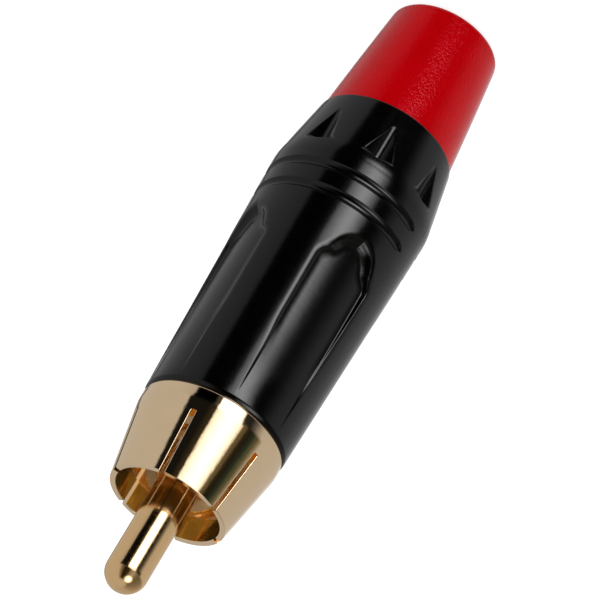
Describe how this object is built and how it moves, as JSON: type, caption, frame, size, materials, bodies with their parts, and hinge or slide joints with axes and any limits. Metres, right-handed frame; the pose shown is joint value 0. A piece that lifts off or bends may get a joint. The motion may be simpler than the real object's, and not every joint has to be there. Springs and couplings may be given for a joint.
{
  "type": "rca connector",
  "caption": "Cable plug with a round-nosed centre pin in a slotted gold skirt, a black shell with arched recesses, notches and grooves, and a red boot that screws on over a cable chuck.",
  "frame": {"origin": "on the plug's axis, at the flat end of the boot", "axes": "+Z along the axis from the boot's end to the pin's tip; +X points at the shell's parting line"},
  "size_m": [0.013, 0.013, 0.0534],
  "materials": {
    "shell_paint": "glossy black stove enamel on a zinc die casting",
    "boot_plastic": "satin red moulded plastic",
    "chuck_plastic": "natural moulded plastic",
    "sleeve_plastic": "thin milky plastic tube",
    "gold_plate": "polished gold plate on turned brass",
    "insulator_plastic": "off-white moulded plastic",
    "washer_laminate": "brown paper laminate",
    "tinned_metal": "tinned sheet metal"
  },
  "bodies": {
    "shell": {"shell": "shell_paint"},
    "sleeve": {"insulating_sleeve": "sleeve_plastic"},
    "insert": {"ground_contact": "gold_plate", "insulator": "insulator_plastic", "insulating_washer": "washer_laminate", "ground_lug": "tinned_metal", "centre_pin": "gold_plate"},
    "chuck": {"chuck": "chuck_plastic"},
    "boot": {"boot": "boot_plastic"}
  },
  "joints": [
    {"name": "sleeve_slide", "type": "slide", "parent": "shell", "child": "sleeve", "axis": [0, 0, 1], "range_m": [0, 0.00525]},
    {"name": "insert_turn", "type": "hinge", "parent": "sleeve", "child": "insert", "pos_m": [0, 0, 0.03875], "axis": [0, 0, 1], "range_deg": [0, 2520]},
    {"name": "chuck_slide", "type": "slide", "parent": "shell", "child": "chuck", "axis": [0, 0, -1], "range_m": [0, 0.00525]},
    {"name": "boot_turn", "type": "hinge", "parent": "chuck", "child": "boot", "pos_m": [0, 0, 0.0108], "axis": [0, 0, -1], "range_deg": [0, 2520]}
  ],
  "couplings": [
    {"joint": "insert_turn", "follows": "sleeve_slide", "rad_per_m": 8377.6},
    {"joint": "boot_turn", "follows": "chuck_slide", "rad_per_m": 8377.6}
  ]
}
